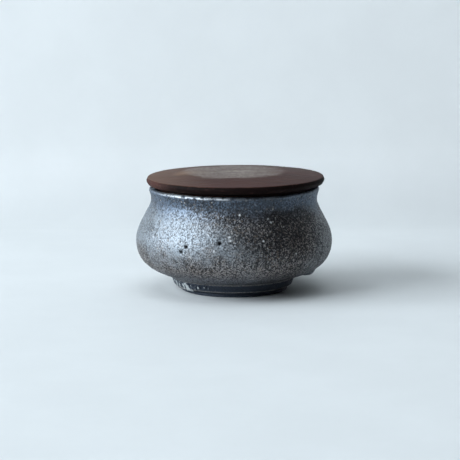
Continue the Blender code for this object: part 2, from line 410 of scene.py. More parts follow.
class GlazeSculptor:
    """Height of the fired surface over the thrown form, and how pitted, grainy or crusted it is there."""

    SLOW_SIZE = 19 * MM
    SLOW_HEIGHT = 0.20 * MM
    SAND_SIZE = 2.1 * MM
    SAND_NOISE = (0.8, 2.1, 3)
    SAND_HEIGHT = 0.085 * MM
    PIT_CELL = 4.6 * MM
    PIT_SHARE = 0.30
    PIT_EDGE = (0.051, 0.17)
    PIT_DEPTH = 0.42 * MM
    GRAIN_CELL = 1.9 * MM
    GRAIN_SHARE = 0.22
    GRAIN_EDGE = (0.1, 0.42)
    GRAIN_HEIGHT = 0.13 * MM
    CRUST_AZIMUTH = radians(80)
    CRUST_SPREAD = (radians(12.8), radians(64))
    CRUST_BOTTOM = (0.5 * MM, 3.6 * MM)
    CRUST_TOP = (6.3 * MM, 9.0 * MM)
    CRUST_SIZE = 2.6 * MM
    CRUST_NOISE = (0.7, 2.1, 3)
    CRUST_FULLNESS = 1.25
    CRUST_LUMPS = 0.6
    CRUST_EDGE = (0.25, 1.05)
    CRUST_HEIGHT = 1.05 * MM
    SPOT_HEAP = 1.6
    SPOT_EDGE = (0.6, 1.1)
    SPOT_RAGGEDNESS = 0.4
    SPOT_NOISE_SIZE = 0.8 * MM
    DRIP_PLACE = at(41.6, -16.0, 11.2)
    DRIP_RADIUS = 4.4 * MM
    DRIP_EDGE = (0.1, 1.0)
    DRIP_RAGGEDNESS = 0.25
    DRIP_NOISE_SIZE = 2 * MM
    DRIP_HEIGHT = 1.35 * MM
    DRIP_TAIL_SHARE = 0.45
    RESIDUE_SPOTS = (
        (at(-25.3, -21.8, 4.9), 1.9 * MM),
        (at(-27.6, -19.2, 5.6), 1.3 * MM),
        (at(-31.4, -12.6, 6.0), 1.0 * MM),
        (at(-19.4, -27.4, 5.3), 0.8 * MM),
        (at(-16.1, -29.9, 6.0), 0.7 * MM),
        (at(-13.9, -30.7, 5.5), 0.6 * MM),
        (at(-21.1, -25.6, 4.3), 0.6 * MM),
    )
    DEEP_PITS = (
        (at(-7.9, -53.6, 34.4), 1.55 * MM),
        (at(-26.0, -48.1, 31.5), 1.3 * MM),
        (at(-28.9, -47.1, 28.6), 1.3 * MM),
    )
    DEEP_PIT_EDGE = (0.5, 1.0)
    BIG_GRAINS = (
        at(-1.9, -53.6, 35.7),
        at(-2.4, -52.8, 37.6),
        at(3.0, -46.9, 48.7),
        at(18.4, -44.4, 46.0),
        at(19.8, -44.7, 44.3),
        at(18.2, -47.4, 32.0),
        at(15.8, -51.4, 35.2),
        at(-10.8, -54.1, 30.1),
        at(-23.6, -49.7, 25.8),
        at(33.6, -43.9, 27.1),
    )
    BIG_GRAIN_RADIUS = 0.95 * MM
    BIG_GRAIN_EDGE = (0.4, 1.0)
    BIG_GRAIN_MARK = 2

    def __init__(self, outline):
        self.sizes = outline.sizes

    def fade(self, z):
        """Full on the body, gone where the lid sits and on the foot's standing face."""
        s = self.sizes
        return smooth_step(0, s.foot_height, z) * (1 - smooth_step(s.height - s.lip_rounding, s.height, z))

    def crust(self, point):
        """Kiln residue on the left of the foot: none at 0, full at 1, heaped in spots above that."""
        off_middle = abs(atan2(-point.x, -point.y) - self.CRUST_AZIMUTH)
        around = 1 - smooth_step(*self.CRUST_SPREAD, off_middle)
        rise = smooth_step(*self.CRUST_BOTTOM, point.z) * (1 - smooth_step(*self.CRUST_TOP, point.z))
        lumps = noise.fractal(point / self.CRUST_SIZE, *self.CRUST_NOISE)
        level = self.CRUST_FULLNESS * around + self.CRUST_LUMPS * lumps
        crust = rise * smooth_step(*self.CRUST_EDGE, level)
        ragged = self.SPOT_RAGGEDNESS * noise.noise(point / self.SPOT_NOISE_SIZE)
        for place, radius in self.RESIDUE_SPOTS:
            reach = (point - place).length / radius + ragged
            crust = max(crust, self.SPOT_HEAP * (1 - smooth_step(*self.SPOT_EDGE, reach)))
        return crust

    def drip(self, point):
        """A run of glaze that froze under the right side, with its tail upwards."""
        offset = point - self.DRIP_PLACE
        if offset.z > 0:
            offset.z *= self.DRIP_TAIL_SHARE
        ragged = self.DRIP_RAGGEDNESS * noise.noise(point / self.DRIP_NOISE_SIZE)
        return 1 - smooth_step(*self.DRIP_EDGE, offset.length / self.DRIP_RADIUS + ragged)

    def pit(self, point):
        """Pits in some of the cells, and deep ones in their places."""
        distance, own = cell_noise(point, self.PIT_CELL)
        pit = 1 - smooth_step(*self.PIT_EDGE, distance) if own < self.PIT_SHARE else 0.0
        for place, radius in self.DEEP_PITS:
            pit = max(pit, 1 - smooth_step(*self.DEEP_PIT_EDGE, (point - place).length / radius))
        return pit

    def grain(self, point):
        """Sand grains in some of the cells, and big white ones in their places, marked above 1."""
        distance, own = cell_noise(point, self.GRAIN_CELL)
        grain = 1 - smooth_step(*self.GRAIN_EDGE, distance) if own < self.GRAIN_SHARE else 0.0
        for place in self.BIG_GRAINS:
            reach = (point - place).length / self.BIG_GRAIN_RADIUS
            grain = max(grain, self.BIG_GRAIN_MARK * (1 - smooth_step(*self.BIG_GRAIN_EDGE, reach)))
        return grain

    def height(self, point, pit, grain):
        """How far the surface stands out, with slow waves and sand, lower in pits and higher on grains."""
        slow = noise.noise(point / self.SLOW_SIZE) * self.SLOW_HEIGHT
        sand = noise.fractal(point / self.SAND_SIZE, *self.SAND_NOISE) * self.SAND_HEIGHT
        return slow + sand - pit * self.PIT_DEPTH + grain * self.GRAIN_HEIGHT


def model_pot_body(sizes):
    """One closed body from three spun outlines: the outside finely, the inside and underside coarsely."""
    outline = PotOutline(sizes)
    piece = new_piece("pot_body_glazed")
    extrude_outline(outline.underside())
    spin_outline(INSIDE_TURN_STEPS)
    start_vertex()
    extrude_outline(outline.inside())
    spin_outline(INSIDE_TURN_STEPS)
    start_vertex()
    extrude_outline(outline.outside())
    spin_outline(OUTSIDE_TURN_STEPS)
    bridge_open_loops(0, sizes.foot_height)
    bridge_open_loops(outline.neck_height, sizes.height)
    leave_edit_mode()
    return piece, outline


def sculpt_outside(piece, outline):
    """Push the outside's vertices in and out, and keep each one's marks for the glaze."""
    sculptor = GlazeSculptor(outline)
    mesh = piece.data
    pits = mesh.attributes.new("pit", "FLOAT", "POINT")
    grains = mesh.attributes.new("grain", "FLOAT", "POINT")
    crusts = mesh.attributes.new("crust", "FLOAT", "POINT")
    lowest_wall = outline.sizes.foot_radius
    normals = [vert.normal.copy() for vert in mesh.vertices]
    for index, vert in enumerate(mesh.vertices):
        radius = vert.co.xy.length
        outward = vert.co.x * normals[index].x + vert.co.y * normals[index].y
        if radius < lowest_wall or outward < 0:
            continue
        pit = sculptor.pit(vert.co)
        grain = sculptor.grain(vert.co)
        crust = sculptor.crust(vert.co)
        fade = sculptor.fade(vert.co.z)
        height = sculptor.height(vert.co, pit, grain)
        residue = min(crust, 1) * sculptor.CRUST_HEIGHT + sculptor.drip(vert.co) * sculptor.DRIP_HEIGHT
        vert.co += normals[index] * (height * fade + residue)
        crusts.data[index].value = crust
        pits.data[index].value = pit * fade
        grains.data[index].value = grain * fade
    mesh.update()


LIP_BAND = 6 * MM
LIP_WAVE_SIZE = 7 * MM
LIP_WAVE_HEIGHT = 0.30 * MM


def true_lip(piece, outline, lid):
    """Raise the lip so that the leaning lid rests on it, a little unevenly."""
    top = outline.sizes.height
    for vert in piece.data.vertices:
        share = smooth_step(top - LIP_BAND, top, vert.co.z)
        if not share:
            continue
        seat = vert.co.x * tan(lid.lean) - vert.co.y * tan(lid.tip)
        wave = (noise.noise(vert.co / LIP_WAVE_SIZE) - 1) * LIP_WAVE_HEIGHT
        vert.co.z += (seat + wave + outline.sizes.lip_rise) * share
    piece.data.update()


def press_throwing_rings(piece, outline):
    """Press one spiral of finger ridges into the inside, fading out at the floor and at the neck."""
    s = outline.sizes
    mesh = piece.data
    for vert in mesh.vertices:
        outward = vert.co.x * vert.normal.x + vert.co.y * vert.normal.y
        share = (vert.co.z - outline.floor_height) / (outline.neck_height - outline.floor_height)
        radius = vert.co.xy.length
        if outward > 0 or not 0 < share < 1 or not radius:
            continue
        wind = 2 * pi * vert.co.z / s.ring_pitch - atan2(vert.co.y, vert.co.x)
        swell = s.ring_depth * sin(wind) * sin(pi * share)
        vert.co.xy *= (radius + swell) / radius
    mesh.update()


# Lid

SPIGOT_ROUNDING = 0.3 * MM
SPIGOT_ROOT_ROUNDING = 0.6 * MM
SEAT_ROUNDING = 0.3 * MM
BEVEL_ROUNDING = 0.5 * MM
SIDE_ROUNDING = 0.8 * MM
UPPER_EDGE_ROUNDING = 0.6 * MM
CROWN_ROUNDING = 2.0 * MM


def lid_outline(s):
    """Turned disc with a locating spigot below, from the middle of the spigot to the middle of the crown."""
    widest_height = s.undercut_rise + s.side_rise
    edge_top = widest_height + s.edge_rise
    edge_radius = s.radius - s.edge_inset
    crown_radius = edge_radius - s.slope_width
    crown_edge = edge_top + s.slope_rise
    corners = [
        (0, -s.spigot_depth, 0),
        (s.spigot_radius - s.spigot_chamfer, -s.spigot_depth, SPIGOT_ROUNDING),
        (s.spigot_radius, s.spigot_chamfer - s.spigot_depth, SPIGOT_ROUNDING),
        (s.spigot_radius, 0, SPIGOT_ROOT_ROUNDING),
        (s.radius - s.seat_inset, 0, SEAT_ROUNDING),
        (s.radius - s.side_inset, s.undercut_rise, BEVEL_ROUNDING),
        (s.radius, widest_height, SIDE_ROUNDING),
        (edge_radius, edge_top, UPPER_EDGE_ROUNDING),
        (crown_radius, crown_edge, CROWN_ROUNDING),
        (0, crown_edge + s.crown_rise, 0),
    ]
    points = evened(rounded(corners, FINE_ARC_STEPS), LID_SPACING)
    return [point + Vector((0, s.seat_height)) for point in points]


def model_lid(sizes):
    """Turned disc, leaning, tipped, slid and settled as the loose lid lies on the lip."""
    piece = new_piece("lid_turned")
    extrude_outline(lid_outline(sizes))
    spin_outline(LID_TURN_STEPS)
    pivot = (0, 0, sizes.seat_height)
    bpy.ops.transform.rotate(value=sizes.lean, orient_axis="Y", center_override=pivot)
    bpy.ops.transform.rotate(value=sizes.tip, orient_axis="X", center_override=pivot)
    bpy.ops.transform.translate(value=(sizes.slide, 0, -sizes.settle))
    leave_edit_mode()
    return piece


LID_WARP_SIZE = 22 * MM
LID_WARP_HEIGHT = 0.10 * MM
LID_WEAR_SIZE = 3 * MM
LID_WEAR_NOISE = (0.9, 2.0, 2)
LID_WEAR_HEIGHT = 0.05 * MM
LID_DENT_SIZE = 2.2 * MM
LID_DENT_EDGE = (0.25, 0.6)
LID_DENT_REACH = 1.2 * MM
LID_DENT_DEPTH = 0.16 * MM


def wear_lid(piece, sizes):
    """Slight warp of the disc, hand-smoothed faces and small dents along its edge."""
    edge = sizes.radius - sizes.edge_inset
    normals = [vert.normal.copy() for vert in piece.data.vertices]
    for normal, vert in zip(normals, piece.data.vertices):
        if vert.co.z < sizes.seat_height:
            continue
        place = vert.co
        warp = noise.noise(place / LID_WARP_SIZE) * LID_WARP_HEIGHT
        wear = noise.fractal(place / LID_WEAR_SIZE, *LID_WEAR_NOISE) * LID_WEAR_HEIGHT
        near_edge = 1 - smooth_step(0, LID_DENT_REACH, abs(place.xy.length - edge))
        dent = smooth_step(*LID_DENT_EDGE, noise.noise(place / LID_DENT_SIZE)) * LID_DENT_DEPTH
        vert.co += normal * (warp + wear - dent * near_edge)
    piece.data.update()


# Node helpers for the finishes, and the detail and roughness of each kind of noise

EVEN = (3, 0.55)
SOFT = (2, 0.5)
GRAINY = (2, 0.6)
GRITTY = (3, 0.65)
SMOOTH = (3, 0.5)
FIBROUS = (5, 0.65)
SCUFFED = (4, 0.7)
MOTTLED = (4, 0.6)
NOISE_MIDDLE = 0.5

PATCH_RAGGEDNESS = 0.7
PATCH_EDGE = (1.25, 0.45)
SPECKLE_SOFTNESS = 0.9


class Finish:
    """A material under construction, with short calls to add and join its nodes."""

    def __init__(self, name):
        self.material = bpy.data.materials.new(name)
        self.material.use_nodes = True
        self.tree = self.material.node_tree
        self.shader = self.tree.nodes["Principled BSDF"]
        self.place = self.node("TexCoord")["Object"]

    def feed(self, socket, value):
        """Link a socket or set a constant."""
        if isinstance(value, bpy.types.NodeSocket):
            self.tree.links.new(value, socket)
        else:
            socket.default_value = value

    def node(self, kind, inputs=(), **settings):
        """Add a node with its settings, feed the given inputs and return its outputs."""
        node = self.tree.nodes.new("ShaderNode" + kind)
        for name, value in settings.items():
            setattr(node, name, value)
        for name, value in dict(inputs).items():
            self.feed(node.inputs[name], value)
        return node.outputs

    def shaded(self, **values):
        """Link the shader's inputs or set them to constants, named with an underscore for each space."""
        for name, value in values.items():
            self.feed(self.shader.inputs[name.replace("_", " ")], value)

    def coordinate(self, axis):
        """One coordinate of the place, in metres."""
        return self.node("SeparateXYZ", {"Vector": self.place})[axis]

    def attribute(self, name):
        return self.node("Attribute", attribute_name=name)["Fac"]

    def stretched(self, scale):
        return self.node("Mapping", {"Vector": self.place, "Scale": scale})["Vector"]

    def noise(self, size, kind=EVEN, vector=None, distortion=0.0):
        """Noise of one kind with features of about the given size in metres."""
        detail, roughness = kind
        return self.node("TexNoise", {
            "Vector": vector or self.place,
            "Scale": 1 / size,
            "Detail": detail,
            "Roughness": roughness,
            "Distortion": distortion,
        })["Fac"]

    def rings(self, size, radius):
        """Uneven rings of about the given width, all round the axis that the radius starts from."""
        inputs = {"W": radius, "Scale": 1 / size, "Detail": 3}
        return self.node("TexNoise", inputs, noise_dimensions="1D")["Fac"]

    def cells(self, size):
        """Cells of about one size: the distance to the middle, and a colour of each cell's own."""
        outputs = self.node("TexVoronoi", {"Vector": self.place, "Scale": 1 / size})
        return outputs["Distance"], outputs["Color"]

    def ranged(self, value, low, high, to_low=0.0, to_high=1.0, kind="SMOOTHSTEP"):
        inputs = {"Value": value, "From Min": low, "From Max": high, "To Min": to_low, "To Max": to_high}
        return self.node("MapRange", inputs, interpolation_type=kind)["Result"]

    def maths(self, operation, first, second, clamp=False):
        return self.node("Math", {0: first, 1: second}, operation=operation, use_clamp=clamp)["Value"]

    def plus(self, first, second, clamp=False):
        return self.maths("ADD", first, second, clamp)

    def minus(self, first, second):
        return self.maths("SUBTRACT", first, second)

    def times(self, first, second):
        return self.maths("MULTIPLY", first, second)

    def most(self, first, second):
        return self.maths("MAXIMUM", first, second)

    def swing(self, noise_value, span):
        """A noise value as a swing about 0 that covers the given span."""
        return self.times(self.minus(noise_value, NOISE_MIDDLE), span)

    def lessened(self, value, share, rest):
        """The value, brought down to the given rest of it where the share is full."""
        return self.times(value, self.ranged(share, 0, 1, 1, rest))

    def band(self, value, low, full_from, full_to, high):
        """Full between two values and gone outside two others."""
        return self.times(self.ranged(value, low, full_from), self.ranged(value, high, full_to))

    def blended(self, share, first, second, mode="MIX"):
        node = self.tree.nodes.new("ShaderNodeMix")
        node.data_type = "RGBA"
        node.blend_type = mode
        self.feed(node.inputs["Factor"], share)
        for name, colour in (("A", first), ("B", second)):
            socket = [s for s in node.inputs if s.name == name and s.type == "RGBA"][0]
            self.feed(socket, colour if isinstance(colour, bpy.types.NodeSocket) else (*colour, 1.0))
        return [s for s in node.outputs if s.type == "RGBA"][0]

    def vectors(self, operation, first, second):
        return self.node("VectorMath", {0: first, 1: second}, operation=operation)["Vector"]

    def distance(self, middle=(0, 0), reach=(1, 1)):
        """Level distance from a place, as a share of a reach along X and along Y."""
        offset = self.vectors("SUBTRACT", self.place, (*middle, 0))
        scaled = self.vectors("MULTIPLY", offset, (1 / reach[0], 1 / reach[1], 0))
        return self.node("VectorMath", {0: scaled}, operation="LENGTH")["Value"]

    def patch(self, middle, reach, ragged):
        """Full at the middle and gone near the reach, with an uneven edge."""
        edge = self.plus(self.distance(middle, reach), self.times(ragged, PATCH_RAGGEDNESS))
        return self.ranged(edge, *PATCH_EDGE)

    def speckled(self, size, chance, edge):
        """Dots about one size across in a share of the cells."""
        distance, colour = self.cells(size)
        own = self.node("SeparateColor", {"Color": colour})["Red"]
        chosen = self.ranged(own, 1 - chance, 1 - chance * SPECKLE_SOFTNESS)
        return self.times(chosen, self.ranged(distance, *edge))

    def bump(self, height, distance, below=None):
        inputs = {"Height": height, "Strength": 1.0, "Distance": distance}
        if below is not None:
            inputs["Normal"] = below
        return self.node("Bump", inputs)["Normal"]


# Glaze. A pair named EDGE gives the values where a share begins and where it is full

class GlazeMap:
    """Where on the pot each look of the glaze lies, as shares from 0 to 1."""

    PATCH_SIZE = 14 * MM
    GRIT_SIZE = 1.0 * MM
    PEBBLE_SIZE = 1.05 * MM
    DRIFT = 30 * MM
    NECK_DRIFT = 10 * MM
    NECK_EDGE = (46 * MM, 59 * MM)
    FOOT_EDGE = (7.8 * MM, 6.6 * MM)
    LIT_SIDE_EDGE = (39 * MM, -20 * MM)
    LIT_SIDE_RISE = (0, 60 * MM)
    LIT_SIDE_LEAN = (-34 * MM, 26 * MM)
    LOW_EDGE = (34 * MM, 12 * MM)
    RIGHT_RIM_EDGE = (34 * MM, 52 * MM)
    RIGHT_RIM_NECK_REACH = 13 * MM
    RIGHT_RIM_LOW_REACH = 7 * MM
    LOW_DULLING_SHARE = 0.9
    RIGHT_RIM_DULLING_SHARE = 0.3
    WHITE_EDGE = (1.0, 1.6)
    SAND_SIZE, SAND_CHANCE, SAND_EDGE = 1.5 * MM, 0.06, (0.40, 0.22)
    PIT_SIZE, PIT_CHANCE, PIT_EDGE = 1.45 * MM, 0.30, (0.42, 0.22)
    FLAKE_SIZE = 1.9 * MM
    FLAKE_SPAN = 3.2
    RESIDUE_EDGE = (0.95, 1.25)

    def __init__(self, f):
        self.height = f.coordinate("Z")
        self.across = f.coordinate("X")
        self.patches = f.noise(self.PATCH_SIZE)
        self.grit = f.noise(self.GRIT_SIZE, GRITTY)
        self.pebbles, _ = f.cells(self.PEBBLE_SIZE)
        self.add_areas(f)
        self.add_painted_shade(f)
        self.add_spots(f)

    def add_areas(self, f):
        """Foot, neck, lower part, a painted reflection along the right edge, and the left side that the
        window lights, where the glaze is painted brighter as painted light.
        """
        drift = f.swing(self.patches, self.DRIFT)
        self.foot = f.ranged(self.height, *self.FOOT_EDGE)
        self.neck = f.ranged(f.plus(self.height, f.times(self.patches, self.NECK_DRIFT)), *self.NECK_EDGE)
        # Painted light: the left side, which the window lights, gets a share that makes the glaze brighter,
        # more metallic and less speckled there.
        lean = f.ranged(self.height, *self.LIT_SIDE_RISE, *self.LIT_SIDE_LEAN, kind="LINEAR")
        self.lit_side = f.ranged(f.plus(f.plus(self.across, drift), lean), *self.LIT_SIDE_EDGE)
        self.low = f.ranged(f.plus(self.height, drift), *self.LOW_EDGE)
        # Painted reflection: a share along the right edge where the bloom turns bright pewter again,
        # reaching further in on the neck and low down.
        reach = f.times(self.neck, self.RIGHT_RIM_NECK_REACH)
        reach = f.plus(reach, f.times(self.low, self.RIGHT_RIM_LOW_REACH))
        self.right_rim_reflection = f.ranged(f.plus(self.across, reach), *self.RIGHT_RIM_EDGE)

    def add_painted_shade(self, f):
        """Shares of a duller, warmer bloom: painted shade away from the lit side, and the same bloom low
        down; the lit side and the neck keep the bright bloom.
        """
        shaded_side_and_low = f.most(f.minus(1.0, self.lit_side), f.times(self.low, self.LOW_DULLING_SHARE))
        self.shaded_side_and_low = f.lessened(shaded_side_and_low, self.right_rim_reflection, self.RIGHT_RIM_DULLING_SHARE)
        self.clean = f.most(self.neck, f.minus(1.0, self.shaded_side_and_low))

    def add_spots(self, f):
        """Pits, sand grains, the few largest white ones, and flakes of residue."""
        self.pit = f.attribute("pit")
        self.grain = f.attribute("grain")
        self.white = f.ranged(self.grain, *self.WHITE_EDGE)
        self.sand = f.speckled(self.SAND_SIZE, self.SAND_CHANCE, self.SAND_EDGE)
        self.hollow = f.most(f.speckled(self.PIT_SIZE, self.PIT_CHANCE, self.PIT_EDGE), self.pit)
        flakes = f.swing(f.noise(self.FLAKE_SIZE, GRITTY), self.FLAKE_SPAN)
        self.residue = f.ranged(f.plus(f.attribute("crust"), flakes), *self.RESIDUE_EDGE)


PATCH_BLOOM = 0.35
LIT_SIDE_BLOOM = (-0.095, 0.045)
NECK_LOSS = (-0.01, 0.035)
CLUMP_SIZE, CLUMP_BLOOM = 2.6 * MM, 0.26
RUN_SIZE, RUN_STRETCH, RUN_EDGE = 3.2 * MM, (1.0, 1.0, 0.10), (0.52, 0.66)
RUN_HEIGHTS, RUN_LOSS = (32 * MM, 22 * MM), 0.14
LOW_BLOOM = 0.055
NEAR_FOOT_HEIGHTS, NEAR_FOOT_LOSS = (12 * MM, 8 * MM), 0.07
RIGHT_RIM_BLOOM = 0.10
BLOOM_EDGE = (0.38, 0.57)
LEAST_LIT_SIDE_EDGE, LEAST_LIT_SIDE_BLOOM = (0.4, 1.0), 0.35
LEAST_NECK_EDGE, LEAST_NECK_REST = (0.0, 0.8), 0.15
SATIN_NECK_EDGE = (0.3, 0.9)
SATIN_LIT_SIDE_EDGE, SATIN_BLOOM = (0.0, 0.5), (0.33, 0.16)


def bloom_level(f, where):
    """How thickly the metallic bloom lies, before its edges are made crisp."""
    level = f.plus(where.grit, f.swing(where.patches, PATCH_BLOOM))
    # Painted light: more bloom on the lit side, less away from it.
    level = f.plus(level, f.ranged(where.lit_side, 0, 1, *LIT_SIDE_BLOOM, kind="LINEAR"))
    level = f.minus(level, f.times(where.neck, f.ranged(where.lit_side, 0, 1, *NECK_LOSS)))
    level = f.plus(level, f.swing(f.noise(CLUMP_SIZE, GRAINY), CLUMP_BLOOM))
    runs = f.ranged(f.noise(RUN_SIZE, SOFT, f.stretched(RUN_STRETCH)), *RUN_EDGE)
    level = f.minus(level, f.times(runs, f.ranged(where.height, *RUN_HEIGHTS, 0, RUN_LOSS)))
    level = f.plus(level, f.times(where.low, LOW_BLOOM))
    level = f.minus(level, f.ranged(where.height, *NEAR_FOOT_HEIGHTS, 0, NEAR_FOOT_LOSS))
    # Painted reflection: more bloom along the right edge.
    return f.plus(level, f.times(where.right_rim_reflection, RIGHT_RIM_BLOOM))


def bloom_share(f, where):
    """Crisp specks of bloom, with a thin even veil of it on the lit side as a painted highlight that hides
    dark specks, and on the neck, fullest away from the lit side.
    """
    specks = f.ranged(bloom_level(f, where), *BLOOM_EDGE)
    # Painted highlight: on the lit side the bloom never falls below a thin veil, so dark specks show less
    # there.
    lit_side_veil = f.ranged(where.lit_side, *LEAST_LIT_SIDE_EDGE, 0, LEAST_LIT_SIDE_BLOOM)
    lit_side_veil = f.times(lit_side_veil, f.ranged(where.neck, *LEAST_NECK_EDGE, 1, LEAST_NECK_REST))
    satin = f.ranged(where.lit_side, *SATIN_LIT_SIDE_EDGE, *SATIN_BLOOM)
    satin = f.times(satin, f.ranged(where.neck, *SATIN_NECK_EDGE))
    return f.most(specks, f.most(lit_side_veil, satin))


BOTTOM_HEIGHTS, BOTTOM_SLATE = (18 * MM, 11 * MM), 0.6


def bloom_colour(f, look, where, bloom):
    """Dark glaze under a bloom: pewter on the lit side, a duller warmer colour away from it as painted shade
    and low down, bluer on the neck and low on the lit side.
    """
    sheen = f.blended(where.shaded_side_and_low, look.pewter, look.shaded_and_low_bloom)
    bottom = f.times(f.ranged(where.height, *BOTTOM_HEIGHTS, 0, BOTTOM_SLATE), where.lit_side)
    sheen = f.blended(f.most(where.neck, bottom), sheen, look.slate)
    return f.blended(bloom, look.dark, sheen)


RUST_SIZE, RUST_CHANCE, RUST_EDGE = 1.6 * MM, 0.60, (0.55, 0.25)
RUST_SHADED_SIDE, RUST_LIT_SIDE = 0.9, 0.15
RUST_HEIGHTS, RUST_LOW = (14 * MM, 24 * MM), 0.25
RUST_LIT_SIDE_EDGE, RUST_FAR = (0, 0.5), 0.35
SOOT_SIZE, SOOT_EDGE = 0.76 * MM, (0.56, 0.42)
SOOT_LIT_SIDE_EDGE, SOOT_SHARES = (0.4, 1), (0.90, 0.24)


def with_rust_and_soot(f, look, where, colour):
    """Iron breaking through, most of it in the middle, under a fine dark speckle; both are kept faint on the
    lit side, as part of its painted highlight.
    """
    rust = f.speckled(RUST_SIZE, RUST_CHANCE, RUST_EDGE)
    rust = f.times(rust, f.ranged(where.clean, 0, 1, RUST_SHADED_SIDE, RUST_LIT_SIDE))
    middle = f.ranged(where.height, *RUST_HEIGHTS, RUST_LOW, 1)
    middle = f.times(middle, f.ranged(where.lit_side, *RUST_LIT_SIDE_EDGE, RUST_FAR, 1))
    colour = f.blended(f.times(rust, middle), colour, look.brown)
    soot = f.ranged(f.noise(SOOT_SIZE, GRAINY), *SOOT_EDGE)
    soot = f.times(soot, f.ranged(where.clean, *SOOT_LIT_SIDE_EDGE, *SOOT_SHARES))
    return f.blended(soot, colour, look.dark)


GRAIN_COVER = 0.5
HOLLOW_LIT_SIDE_EDGE, HOLLOW_SHARES = (0.4, 1), (0.90, 0.38)


def with_grains_and_pits(f, look, where, colour):
    """Pale sand, the few white grains, and dark pits that show less on the lit side, as part of its painted
    highlight.
    """
    colour = f.blended(f.most(where.sand, f.times(where.grain, GRAIN_COVER)), colour, look.grain)
    colour = f.blended(where.white, colour, look.lip)
    hollow = f.times(where.hollow, f.ranged(where.lit_side, *HOLLOW_LIT_SIDE_EDGE, *HOLLOW_SHARES))
    return f.blended(f.most(hollow, where.pit), colour, look.dark)


STEP_BAND = (2.6 * MM, 3.1 * MM, 3.3 * MM, 3.7 * MM)
FOOT_RIM_BAND = (6.9 * MM, 7.3 * MM, 7.6 * MM, 8.2 * MM)
EDGE_HIGHLIGHT_GRIT_EDGE, EDGE_HIGHLIGHT_SHARES = (0.40, 0.60), (0.25, 0.9)
LIP_HEIGHTS = (56.2 * MM, 57.2 * MM)
LIP_BREAKUP_SIZE, LIP_BREAKUP_EDGE = 2.6 * MM, (0.36, 0.54)
LIP_RIGHT_EDGE, LIP_LEFT_EDGE, LIP_FAINT = (4 * MM, -10 * MM), (-44 * MM, -36 * MM), 0.15


def with_foot_and_edges(f, look, where, colour):
    """Bare clay on the foot, its residue, pale bands along the foot's edges as painted highlights, and a
    pale line on the lip that is partly thin glaze and partly a painted highlight.
    """
    colour = f.blended(where.foot, colour, look.clay)
    colour = f.blended(where.residue, colour, look.residue)
    # Painted highlight: pale bands along the foot's step and rim edges, broken up by the grit.
    edges = f.most(f.band(where.height, *STEP_BAND), f.band(where.height, *FOOT_RIM_BAND))
    edges = f.times(edges, f.ranged(where.grit, *EDGE_HIGHLIGHT_GRIT_EDGE, *EDGE_HIGHLIGHT_SHARES))
    colour = f.blended(edges, colour, look.grain)
    # Painted highlight: the pale lip line, thin glaze in part, is kept to the lit left and faint elsewhere.
    lip = f.times(f.ranged(where.height, *LIP_HEIGHTS), f.ranged(f.noise(LIP_BREAKUP_SIZE), *LIP_BREAKUP_EDGE))
    lip = f.times(lip, f.ranged(where.across, *LIP_RIGHT_EDGE, LIP_FAINT, 1))
    lip = f.times(lip, f.ranged(where.across, *LIP_LEFT_EDGE, LIP_FAINT, 1))
    return f.blended(lip, colour, look.lip)


METAL_SHARES = (0.55, 0.85)
METAL_IN_HOLLOWS_SHARE = 0.2
METAL_ON_RESIDUE_SHARE = 0.1
METAL_ON_SAND_SHARE = 0.2
METAL_ON_FOOT_SHARE = 0.1


def glaze_metal(f, where, bloom):
    """Metallic where the bloom lies, and hardly so on sand, residue and the bare foot."""
    metal = f.ranged(bloom, 0, 1, *METAL_SHARES)
    metal = f.lessened(metal, where.hollow, METAL_IN_HOLLOWS_SHARE)
    metal = f.lessened(metal, where.residue, METAL_ON_RESIDUE_SHARE)
    metal = f.lessened(metal, f.most(where.sand, where.white), METAL_ON_SAND_SHARE)
    return f.lessened(f.most(metal, where.pit), where.foot, METAL_ON_FOOT_SHARE)


ROUGH_GRIT_EDGE, ROUGHNESS = (0.3, 0.7), (0.56, 0.48)
PIT_ROUGHNESS = 0.4
PEBBLE_DEPTH, HOLLOW_DEPTH, SAND_RISE = -0.6, -0.9, 0.35
RELIEF_HEIGHT = 0.20 * MM
FINE_RELIEF_SIZE, FINE_RELIEF_HEIGHT = 0.5 * MM, 0.06 * MM


def glaze_relief(f, where):
    """Grit, pebbles, hollows and sand that are finer than the mesh."""
    relief = f.plus(where.grit, f.times(where.pebbles, PEBBLE_DEPTH))
    relief = f.plus(relief, f.times(where.hollow, HOLLOW_DEPTH))
    relief = f.plus(relief, f.times(where.sand, SAND_RISE))
    coarse = f.bump(relief, RELIEF_HEIGHT)
    return f.bump(f.noise(FINE_RELIEF_SIZE, GRAINY), FINE_RELIEF_HEIGHT, below=coarse)


def glaze_finish(look):
    """Rough dark metallic glaze: pewter bloom over near-black, iron breaking through, pale sand grains."""
    f = Finish("dark_metallic_glaze")
    where = GlazeMap(f)
    bloom = bloom_share(f, where)
    colour = bloom_colour(f, look, where, bloom)
    for layer in (with_rust_and_soot, with_grains_and_pits, with_foot_and_edges):
        colour = layer(f, look, where, colour)
    roughness = f.ranged(where.grit, *ROUGH_GRIT_EDGE, *ROUGHNESS)
    roughness = f.plus(roughness, f.times(where.pit, PIT_ROUGHNESS), clamp=True)
    f.shaded(Base_Color=colour, Metallic=glaze_metal(f, where, bloom))
    f.shaded(Roughness=roughness, Normal=glaze_relief(f, where))
    return f.material


# Wood

